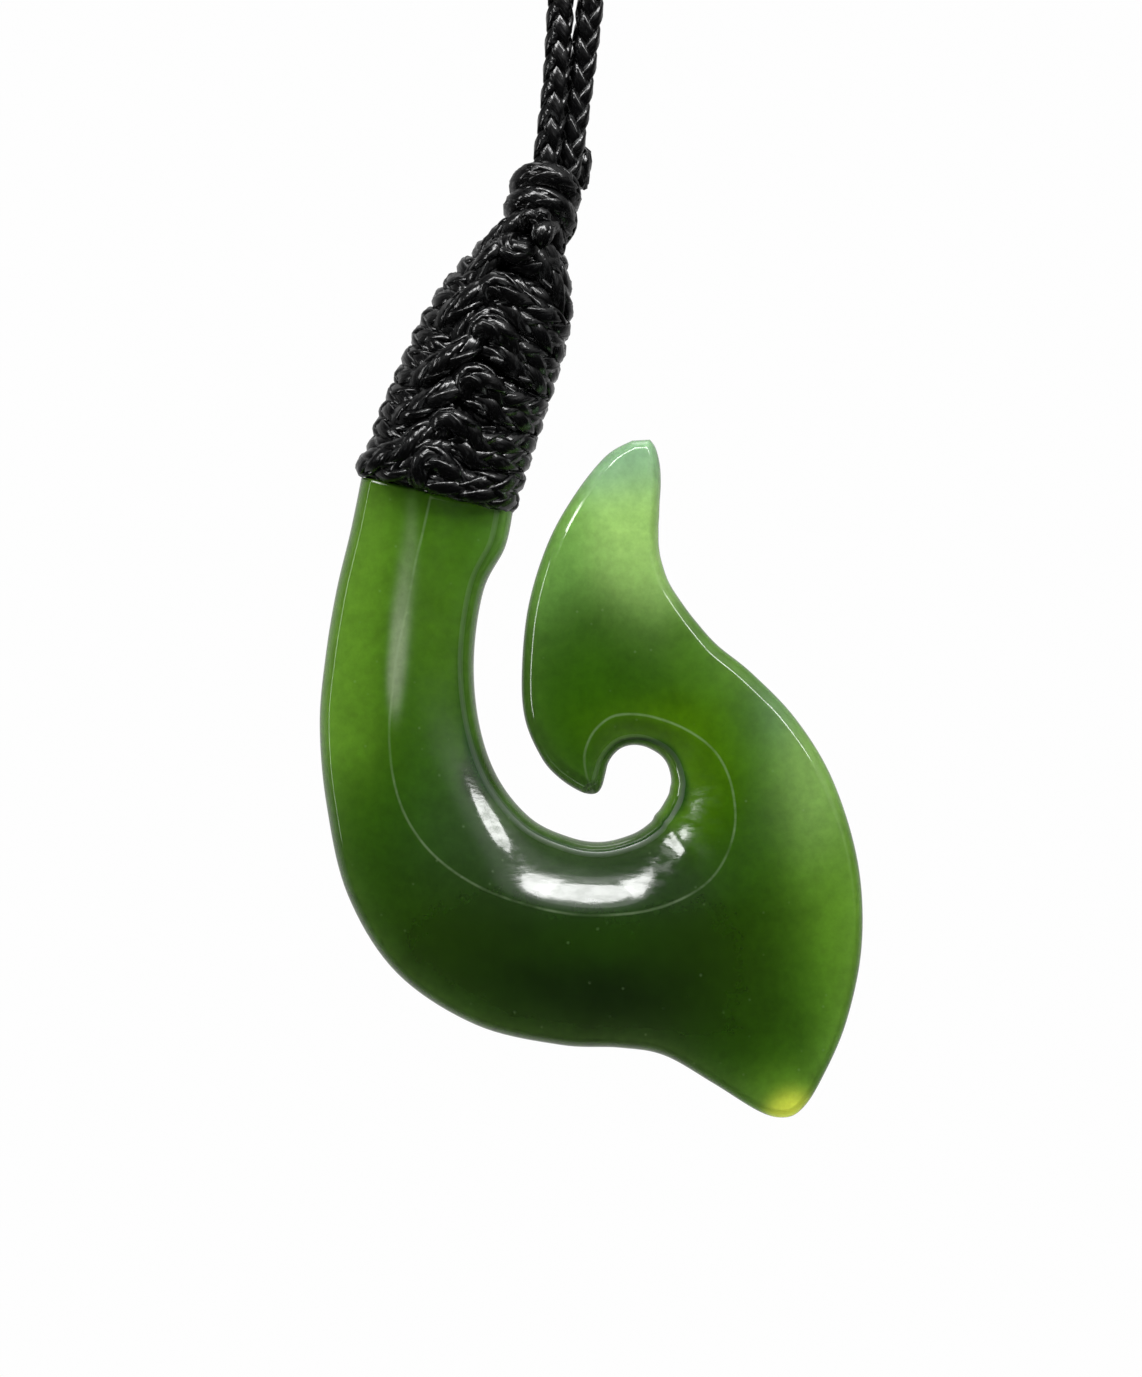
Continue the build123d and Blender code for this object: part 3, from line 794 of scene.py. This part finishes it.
def braid(path, diameter, turn=0.0, lay=BRAID_LAY, taper=None, width=CARRIER_WIDTH, wave=CARRIER_WAVE):
    """A braid of eight flat carriers along a path: its points, faces and lay coordinates.

    The path may carry the way outwards at each point, and then the braid is pressed flat that way."""
    radius = diameter / 2
    pitch = lay * diameter
    rows = even(path, pitch / BRAID_STEPS)
    size = np.ones(len(rows))
    if taper is not None:
        size = np.interp(np.linspace(0, len(path) - 1, len(rows)), range(len(path)), taper)
    path, outwards = rows[:, :3], rows[:, 3:]
    along, side, up = directions(path)
    steps = np.arange(len(path)) * np.linalg.norm(path[1] - path[0]) / pitch
    middle = radius * (1 - wave - CARRIER_THICKNESS / 2)
    slant = atan2(2 * pi * middle, pitch)
    ring = np.arange(CARRIER_SIDES) * 2 * pi / CARRIER_SIDES
    sideways = width * radius * np.cos(ring)
    outward = CARRIER_THICKNESS / 2 * radius * np.sin(ring)
    crossing = 2 * CARRIERS * steps
    points, faces, lays = [], [], []
    for way in (1, -1):
        for carrier in range(CARRIERS):
            angle = way * 2 * pi * steps + carrier * 2 * pi / CARRIERS + turn
            height = way * np.cos(2 * pi * (2 * carrier + way * crossing - 0.5) / CROSSINGS)
            lifted = middle + wave * radius * np.tanh(FLATNESS * height) / np.tanh(FLATNESS)
            reach = (lifted[:, None] + outward) * size[:, None]
            angles = angle[:, None] + sideways * cos(slant) / middle
            shift = -way * sideways * sin(slant)
            ringed = (path[:, None] + reach[..., None] * (np.cos(angles)[..., None] * side[:, None]
                      + np.sin(angles)[..., None] * up[:, None]) + shift[None, :, None] * along[:, None])
            if outwards.size:
                away = ((ringed - path[:, None]) * outwards[:, None]).sum(axis=2)
                ringed = ringed - (1 - PRESSED) * away[..., None] * outwards[:, None]
            faces += tube_faces(len(path), CARRIER_SIDES, len(points) * len(path) * CARRIER_SIDES)
            points.append(ringed.reshape(-1, 3))
            measure = np.repeat(steps * pitch / cos(slant), CARRIER_SIDES)
            sideways_lay = np.tile(np.cos(ring) / 2, len(path)) + way
            lays.append(np.stack([measure + LAY_OFFSET * carrier, sideways_lay], axis=1))
    return np.vstack(points), faces, np.vstack(lays)


def make_cords(name, braids, material, replaced=()):
    """One piece of several braids."""
    points, faces, lays, first = [], [], [], 0
    for braid_points, braid_faces, braid_lays in braids:
        points.append(braid_points)
        lays.append(braid_lays)
        faces += [[corner + first for corner in face] for face in braid_faces]
        first += len(braid_points)
    new_piece(name, np.vstack(points), faces, material, replaced, uv=np.vstack(lays))


def loop_points():
    """The neck loop's route, from the left strand round the top to the right strand."""
    start_x = place(STRANDS_SHARE, 0)[0]
    knot_x = place(*KNOT_TOP)[0]
    spacing = (CORD_DIAMETER + STRAND_GAP) / 2
    slope = radians(KNOT_TILT)
    sides = []
    for side in (-1, 1):
        points = []
        for bend in LOOP_SIDE:
            apart = spacing * sqrt(1 - bend.twist ** 2) + bend.half_gap * LOOP_WIDTH
            x = bend.lean * start_x + side * apart
            points.append((x, side * bend.twist * spacing, (bend.rise - 1) * LOOP_DROP))
        foot_x, foot_y, _ = points[0]
        fall = (foot_x - knot_x) * sin(slope)
        points[0] = (foot_x, foot_y, -LOOP_DROP + (SEAT_GAP - fall) / cos(slope))
        top_x, top_y, _ = points[-1]
        points[-1] = (top_x, top_y, CORD_DIAMETER / 2)
        sides.append(points)
    left, right = sides
    return left + right[::-1]


def smooth_line(points, steps):
    """Points along the smooth line that follows a route."""
    curve = bpy.data.curves.new("route", "CURVE")
    curve.dimensions = "3D"
    spline = curve.splines.new("NURBS")
    spline.points.add(len(points) - 1)
    for point, at in zip(spline.points, points):
        point.co = (*at, 1.0)
    spline.order_u = 3
    spline.use_endpoint_u = True
    spline.resolution_u = steps
    holder = new_object("route", curve)
    mesh = bpy.data.meshes.new_from_object(holder)
    line = np.array([vertex.co for vertex in mesh.vertices])
    bpy.data.objects.remove(holder)
    bpy.data.curves.remove(curve)
    bpy.data.meshes.remove(mesh)
    return line


def make_neck_cord(material):
    """The neck loop, with both of its feet run down into the knot."""
    line = smooth_line(loop_points(), LOOP_STEPS)
    feet = [end + (end - beside) / np.linalg.norm(end - beside) * NECK_FOOT
            for end, beside in ((line[0], line[END_POINTS]), (line[-1], line[-1 - END_POINTS]))]
    line = np.vstack([feet[0], line, feet[1]])
    make_cords("neck_braid", [braid(line, NECK_BRAID)], material, ["neck_cord"])


# The hitches, from the binding's lower edge up: where the lower and the upper strand of each cross the right
# and the left edge, as shares of the winding's height, and the knuckle's place in the outline's shares
Hitch = namedtuple("Hitch", "right_lower right_upper left_lower left_upper knuckle_x knuckle_z")
HITCHES = [
    Hitch(0.046, 0.122, 0.050, 0.100, 0.206, 0.309),
    Hitch(0.200, 0.276, 0.156, 0.214, 0.243, 0.271),
    Hitch(0.350, 0.420, 0.280, 0.354, 0.287, 0.225),
    Hitch(0.495, 0.575, 0.432, 0.524, 0.313, 0.173),
    Hitch(0.655, 0.735, 0.600, 0.692, 0.326, 0.130),
    Hitch(0.810, 0.885, 0.772, 0.858, 0.354, 0.096),
]

# Where the topmost turn crosses the right and the left edge, its start as degrees to the right and lift, and
# the angle where it leaves the front
TOP_TURN = (0.955, 0.935)
TOP_START = [(-20, -0.9), (-8, -0.2), (10, 0.1)]
TOP_END = 40

# The strands on the front of a hitch, from its knuckle: degrees to the right, share of the winding's height,
# and lift in millimetres. The upper one folds over at the knuckle, and the lower one comes out below it. Then
# the knuckle's lift, the angles where they leave the front, how much their lifts vary, and the random seed.
KNUCKLE = [(-4, -0.110, -0.40), (-5, -0.070, 0.45), (-5, -0.030, 1.00), (-1, -0.004, 1.20), (6, -0.006, 1.10),
           (14, -0.026, 0.75), (26, -0.048, 0.25)]
UNDER_KNUCKLE = [(0, -0.128, -0.60), (5, -0.098, 0.10), (13, -0.090, 0.50), (25, -0.108, 0.20)]
KNUCKLE_LIFT = 1.0
KNUCKLE_END = 46
UNDER_END = 44
LIFT_SPREAD = 0.06
SEED = 11

# The rest of each turn: two holds on the way to the right edge, by the share of the way left and by lift, the
# angle of the second one, the angles round the back, and the angles and lifts in from the left edge
LEAVING = [(0.55, 0.10), (0.20, 0.02)]
RIGHT_ANGLE = 64
BACK_ANGLES = (80, 110, 145, 180, 215, 245, 270)
LEFT_HOLDS = [(290, 0.0), (306, 0.0), (318, -0.15), (328, -0.50), (335, -0.95)]

# The strands that slant up to the spine: places in the outline's shares with their lifts, and their hitches
SLANTS = [
    [(0.066, 0.336, -0.5), (0.081, 0.327, 0.3), (0.147, 0.305, 1.0), (0.190, 0.287, 1.0),
     (0.214, 0.279, 0.2)],
    [(0.100, 0.336, -0.5), (0.122, 0.328, 0.2), (0.184, 0.312, 0.8), (0.220, 0.304, 0.7),
     (0.238, 0.299, -0.1)],
    [(0.140, 0.278, -0.5), (0.160, 0.268, 0.3), (0.206, 0.253, 1.0), (0.236, 0.242, 0.9),
     (0.258, 0.235, 0.1)],
    [(0.184, 0.277, -0.5), (0.199, 0.270, 0.0), (0.222, 0.263, 0.4), (0.241, 0.254, -0.1)],
    [(0.174, 0.238, -0.5), (0.192, 0.227, 0.3), (0.239, 0.209, 1.1), (0.270, 0.198, 1.0),
     (0.289, 0.188, 0.1)],
    [(0.222, 0.178, -0.5), (0.236, 0.166, 0.3), (0.273, 0.148, 1.0), (0.292, 0.141, 0.9),
     (0.305, 0.134, 0.1)],
    [(0.252, 0.192, -0.4), (0.268, 0.180, 0.2), (0.290, 0.166, 0.5), (0.304, 0.157, -0.1)],
    [(0.272, 0.133, -0.5), (0.287, 0.122, 0.2), (0.312, 0.107, 0.7), (0.330, 0.095, 0.6),
     (0.343, 0.086, -0.1)],
]
SLANT_HITCH = (0, 0, 1, 1, 2, 3, 3, 4)

# The turns that lie under the front strands, by their heights and the angles of their holds
UNDER_TURNS = (0.105, 0.195, 0.290, 0.350, 0.455, 0.560, 0.660, 0.750, 0.840, 0.925)
UNDER_ANGLES = range(-66, 67, 22)
UNDER_SLOPE = 0.0004
UNDER_LIFT = -0.42

# The lowest height of a strand's middle, how deep it lies in the winding, and the form of its braid
LOWEST = 0.046
STRAND_DEPTH = 0.43 * PRESSED * BINDING_BRAID
STRAND_FORM = {"lay": 5.0, "width": 0.62, "wave": 0.11}

# The heights among which a place on the winding's front is looked up
HEIGHT_STOPS = np.linspace(0, 1.1, 111)


def on_shank(angle, share, lift):
    """A point on the winding and the way outwards there, by degrees to the right, height and lift."""
    x, z, half_width, half_depth, tilt = station_at(max(share, LOWEST))
    turn = radians(angle)
    inset = lift * MM - STRAND_DEPTH
    run = (half_width + inset) * sin(turn)
    ahead = (half_depth + inset) * cos(turn)
    sideways, forwards = half_depth * sin(turn), half_width * cos(turn)
    size = sqrt(sideways ** 2 + forwards ** 2)
    outwards = (sideways / size * cos(tilt), -forwards / size, -sideways / size * sin(tilt))
    return x + run * cos(tilt), -ahead, z - run * sin(tilt), *outwards


def wound(holds):
    """A strand's path over the winding, through holds of angle, height and lift."""
    return np.array([on_shank(*hold) for hold in through(holds, STRAND_STEPS)])


def hold_at(x_share, z_share, lift):
    """The angle, height and lift of a strand seen at a place on the winding's front."""
    x, z = place(x_share, z_share)
    stations = np.array([station_at(height) for height in HEIGHT_STOPS])
    above = (x - stations[:, 0]) * np.sin(stations[:, 4]) + (z - stations[:, 1]) * np.cos(stations[:, 4])
    height = np.interp(0, above[::-1], HEIGHT_STOPS[::-1])
    middle_x, middle_z, half_width, _, tilt = station_at(height)
    run = (x - middle_x) * cos(tilt) - (z - middle_z) * sin(tilt)
    share = run / (half_width - STRAND_DEPTH + lift * MM)
    return degrees(asin(max(-1, min(1, share)))), height, lift


def turn_holds(holds, last, right, left):
    """A strand's holds, on from the front, round the back and in from the left."""
    level = holds[-1][1]
    onward = [(angle, right + (level - right) * share, lift)
              for angle, (share, lift) in zip((last, RIGHT_ANGLE), LEAVING)]
    first, far = BACK_ANGLES[0], BACK_ANGLES[-1]
    back = [(angle, right + (left - right) * (angle - first) / (far - first), 0.0) for angle in BACK_ANGLES]
    return holds + onward + back + [(angle, left, lift) for angle, lift in LEFT_HOLDS]


def hitch_paths(hitch, chance):
    """The two turns of one hitch."""
    angle, height, _ = hold_at(hitch.knuckle_x, hitch.knuckle_z, KNUCKLE_LIFT)
    rows = ((KNUCKLE, KNUCKLE_END, hitch.right_upper, hitch.left_upper),
            (UNDER_KNUCKLE, UNDER_END, hitch.right_lower, hitch.left_lower))
    paths = []
    for start, last, right, left in rows:
        bulge = chance.uniform(-LIFT_SPREAD, LIFT_SPREAD)
        holds = [(angle + turn, height + rise, lift + bulge) for turn, rise, lift in start]
        paths.append(wound(turn_holds(holds, last, right, left)))
    return paths


def make_binding(material):
    """The braided cord hitched round the shank, one piece for each pair of turns."""
    chance = np.random.default_rng(SEED)
    under = [wound([(angle, height - angle * UNDER_SLOPE, UNDER_LIFT) for angle in UNDER_ANGLES])
             for height in UNDER_TURNS]
    for number, hitch in enumerate(HITCHES):
        paths = hitch_paths(hitch, chance)
        paths += [wound([hold_at(*row) for row in slant])
                  for slant, at in zip(SLANTS, SLANT_HITCH) if at == number]
        if hitch is HITCHES[-1]:
            right, left = TOP_TURN
            start = [(angle, left, lift) for angle, lift in TOP_START]
            paths.append(wound(turn_holds(start, TOP_END, right, left)))
        braids = [braid(path, BINDING_BRAID, chance.uniform(0, 2), **STRAND_FORM) for path in paths]
        braids += [braid(path, BINDING_BRAID, chance.uniform(0, 2)) for path in under[number::len(HITCHES)]]
        replaced = ["shank_binding"] if number == 0 else ()
        make_cords("binding_hitch_" + str(number + 1), braids, material, replaced)


# The knot: its turns' middles, in millimetres from the knot's top, their half widths, and how far the front
# of each stands above its sides. The cord runs from KNOT_START to KNOT_END, in degrees from the first front.
KnotTurn = namedtuple("KnotTurn", "x z half_width half_depth rise")
KNOT_PATH = [
    KnotTurn(-0.45, -1.30, 2.50, 2.75, 1.00),
    KnotTurn(-0.42, -2.10, 2.70, 2.95, 1.00),
    KnotTurn(-0.75, -4.00, 2.88, 3.20, 1.15),
    KnotTurn(-1.25, -5.75, 2.55, 2.75, 1.30),
    KnotTurn(-1.60, -6.80, 2.30, 2.50, 1.20),
]
KNOT_START = -200
KNOT_END = 880
KNOT_STEP = 8
KNOT_FORM = {"lay": 5.0, "width": 0.70, "wave": 0.025}


def knot_point(angle):
    """A point on the knot's cord, by its whole angle from the first turn's front."""
    at = angle / 360 + 1
    turn = KnotTurn(*(np.interp(at, range(len(KNOT_PATH)), column) for column in zip(*KNOT_PATH)))
    top_x, top_z = place(*KNOT_TOP)
    around = radians(angle)
    x = top_x + turn.x * MM + (turn.half_width * MM - KNOT_BRAID / 2) * sin(around)
    z = top_z + turn.z * MM + turn.rise * MM * cos(around)
    return x, -(turn.half_depth * MM - KNOT_BRAID / 2) * cos(around), z


# The least squared width of a rounded end, and the rounded shares of the melted end and the tail
CAP_LEAST = 0.004
MELTED_CAP = 0.45
TAIL_CAP = 0.30


def capped(length, steps):
    """The widths of a stub whose far end is rounded, as if it had been melted."""
    reach = np.linspace(0, 1, steps)
    return np.sqrt(np.clip(1 - np.clip((reach - 1 + length) / length, 0, 1) ** 2, CAP_LEAST, 1))


def front_strand(points):
    """A path through points in millimetres from the knot's top: across, forwards and up."""
    top_x, top_z = place(*KNOT_TOP)
    rows = through(points, STRAND_STEPS)
    return np.array([(top_x + x * MM, -front * MM, top_z + z * MM) for x, front, z in rows])


# The tail's shift from the CAD solid's middle, its reach down and up in millimetres, and its steps
TAIL_SHIFT = (-0.62 * MM, -0.9 * MM, 0.0)
TAIL_REACH = (-0.8, 1.85)
TAIL_STEPS = 30

# The melted end at the knot's foot, the strand on its left, and the two small loops
MELTED_END = [(-0.10, 1.6, -4.6), (-0.42, 2.6, -4.85), (-0.58, 3.5, -5.20), (-0.66, 3.9, -5.75),
              (-0.70, 3.9, -6.25)]
SIDE_STRAND = [(-1.2, 2.2, -4.1), (-2.2, 2.3, -4.6), (-3.1, 2.1, -5.2), (-3.9, 1.7, -6.0), (-4.5, 1.3, -6.9),
               (-4.9, 0.7, -7.7)]
SMALL_LOOPS = [
    [(-2.10, 2.2, -5.2), (-1.95, 3.3, -4.45), (-1.55, 3.7, -4.05), (-1.10, 3.5, -4.35), (-0.95, 2.6, -5.0)],
    [(-1.20, 2.3, -5.0), (-1.05, 3.4, -4.30), (-0.70, 3.8, -3.95), (-0.35, 3.4, -4.25), (-0.25, 2.4, -4.8)],
]
LOOP_BRAID = 1.0 * MM
END_BRAID = 1.85 * MM


def make_knot(material):
    """The turns that gather the two neck strands, and the loose strands at their foot."""
    turns = np.array([knot_point(angle) for angle in range(KNOT_START, KNOT_END, KNOT_STEP)])
    melted = front_strand(MELTED_END)
    braids = [braid(turns, KNOT_BRAID, turn=0.4, **KNOT_FORM),
              braid(melted, END_BRAID, turn=0.9, taper=capped(MELTED_CAP, len(melted)), **KNOT_FORM)]
    braids += [braid(front_strand(loop), LOOP_BRAID) for loop in SMALL_LOOPS]
    side_form = STRAND_FORM | {"lay": BRAID_LAY}
    braids.append(braid(front_strand(SIDE_STRAND), BINDING_BRAID, turn=0.2, **side_form))
    make_cords("knot_wraps", braids, material, ["knot_turns"])


def make_tail(material):
    """The cut end that stands up behind the knot, rounded where it was melted."""
    low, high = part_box("cord_tail")
    middle = (low + high) / 2
    lean = radians(KNOT_TILT)
    way = Vector((sin(lean), 0, cos(lean)))
    reaches = np.linspace(*TAIL_REACH, TAIL_STEPS)
    path = np.array([middle + Vector(TAIL_SHIFT) + way * reach * MM for reach in reaches])
    tail = braid(path, TAIL_BRAID, turn=0.3, taper=capped(TAIL_CAP, TAIL_STEPS), **KNOT_FORM)
    make_cords("tail_stub", [tail], material, ["cord_tail"])


# The softboxes round the pendant's middle, each where a flank of the stone mirrors it: the way the flank
# faces, in degrees clockwise from upwards, its slope in degrees, the box's sizes in metres, and its radiance
PENDANT = Vector((-0.002, 0.0, -0.345))
LIGHT_DISTANCE = 0.5
Softbox = namedtuple("Softbox", "name facing slope across outwards radiance")
SOFTBOXES = [
    Softbox("key", 0, 30.4, 0.36, 0.09, 12),
    Softbox("key_left", 30, 28.0, 0.24, 0.10, 12),
    Softbox("key_right", -25.5, 27.9, 0.21, 0.11, 12),
    Softbox("key_haze", 0, 24.0, 0.50, 0.10, 0.9),
    Softbox("bend", 54, 31.0, 0.11, 0.08, 12),
    Softbox("streak", -55.5, 25.5, 0.045, 0.18, 13),
    Softbox("left", -85, 38, 0.30, 0.05, 8),
    Softbox("top", 0, 55, 0.30, 0.24, 1.5),
]


def add_softbox(box):
    """A soft light that shines on the pendant from where the flank mirrors it."""
    turn = radians(box.facing)
    reach = radians(2 * box.slope)
    outwards = Vector((sin(turn), 0, cos(turn)))
    toward = outwards * sin(reach) + Vector((0, -cos(reach), 0))
    light = bpy.data.lights.new(box.name, "AREA")
    light.shape = "RECTANGLE"
    light.size = box.across
    light.size_y = box.outwards
    light.energy = box.radiance * pi * box.across * box.outwards
    lamp = new_object(box.name, light)
    upward = outwards * cos(reach) + Vector((0, sin(reach), 0))
    axes = Matrix((upward.cross(toward), upward, toward)).transposed().to_4x4()
    lamp.matrix_world = Matrix.Translation(PENDANT + toward * LIGHT_DISTANCE) @ axes


# The view's middle and height, from the photo's scale, and the camera's distance and sensor
VIEW_CENTRE = Vector((-0.00207, 0.0, -0.33775))
VIEW_HEIGHT = 0.09836
CAMERA_DISTANCE = 0.9
SENSOR = 36.0


def make_camera():
    """The camera, level with the pendant and straight in front of it."""
    data = bpy.data.cameras.new("camera")
    data.sensor_width = SENSOR
    data.lens = SENSOR * CAMERA_DISTANCE / VIEW_HEIGHT
    camera = new_object("camera", data)
    camera.location = VIEW_CENTRE + Vector((0, -CAMERA_DISTANCE, 0))
    camera.rotation_euler = (pi / 2, 0, 0)
    bpy.context.scene.camera = camera


# Where the room is softly bright: the direction of each glow, the range of its cosine over which it fades in,
# and its strength. Elsewhere each adds LEAST_GLOW.
Glow = namedtuple("Glow", "direction start full strength")
GLOWS = [
    Glow((0.0, 1.0, 0.0), 0.0, 1.0, 0.40),
    Glow((0.55, -0.45, 0.70), 0.60, 0.97, 0.55),
    Glow((0.26, -0.95, 0.15), 0.95, 0.995, 0.05),
]
LEAST_GLOW = 0.005
WHITE = (1, 1, 1, 1)
BACKDROP = (0.99, 0.99, 0.99, 1)


def make_world():
    """A white room that lights the part softly."""
    world = bpy.data.worlds.new("studio")
    world.use_nodes = True
    tree = world.node_tree
    tree.nodes.clear()
    direction = add_node(tree, "TexCoord").outputs["Generated"]
    level = 0.0
    for glow in GLOWS:
        toward = add_node(tree, "VectorMath", {"operation": "DOT_PRODUCT"})
        feed(tree, direction, toward.inputs[0])
        feed(tree, glow.direction, toward.inputs[1])
        fade = add_node(tree, "MapRange", {"interpolation_type": "SMOOTHSTEP"}, Value=toward.outputs["Value"],
                        From_Min=glow.start, From_Max=glow.full, To_Min=LEAST_GLOW, To_Max=glow.strength)
        level = calculated(tree, "ADD", fade.outputs["Result"], level)
    light = add_node(tree, "Background", Color=WHITE, Strength=level)
    seen = add_node(tree, "Background", Color=BACKDROP, Strength=1.0)
    mix = add_node(tree, "MixShader", Fac=add_node(tree, "LightPath").outputs["Is Camera Ray"])
    feed(tree, light.outputs[0], mix.inputs[1])
    feed(tree, seen.outputs[0], mix.inputs[2])
    add_node(tree, "OutputWorld", Surface=mix.outputs[0])
    bpy.context.scene.world = world


# The floor's colour, its radius and height in metres, and its corners
FLOOR_COLOUR = (0.86, 0.86, 0.85, 1)
FLOOR_RADIUS = 0.35
FLOOR_HEIGHT = -0.46
FLOOR_CORNERS = 96


def make_floor():
    """A plain pale floor, well below the pendant."""
    material, tree, shader = new_material("floor")
    feed_all(tree, shader, Base_Color=FLOOR_COLOUR, Roughness=0.9)
    turns = np.linspace(0, 2 * pi, FLOOR_CORNERS + 1)[:-1]
    points = [(FLOOR_RADIUS * cos(turn), FLOOR_RADIUS * sin(turn), FLOOR_HEIGHT) for turn in turns]
    mesh = bpy.data.meshes.new("floor")
    mesh.from_pydata(points, [], [list(range(len(points)))])
    mesh.materials.append(material)
    floor = new_object("floor", mesh)
    floor.visible_glossy = False


make_camera()
make_world()
make_floor()
for box in SOFTBOXES:
    add_softbox(box)
bpy.context.scene.view_settings.view_transform = "Standard"

make_stone(stone_material())
make_neck_cord(cord_material("waxed_neck_cord", filaments=5.0, gloss=0.14, edges=0.8))
make_binding(cord_material("waxed_binding_cord", filaments=5.0, gloss=0.12, edges=0.6))
knot_finish = cord_material("waxed_knot_cord", filaments=6.0, gloss=0.16, edges=0.4)
make_knot(knot_finish)
make_tail(knot_finish)
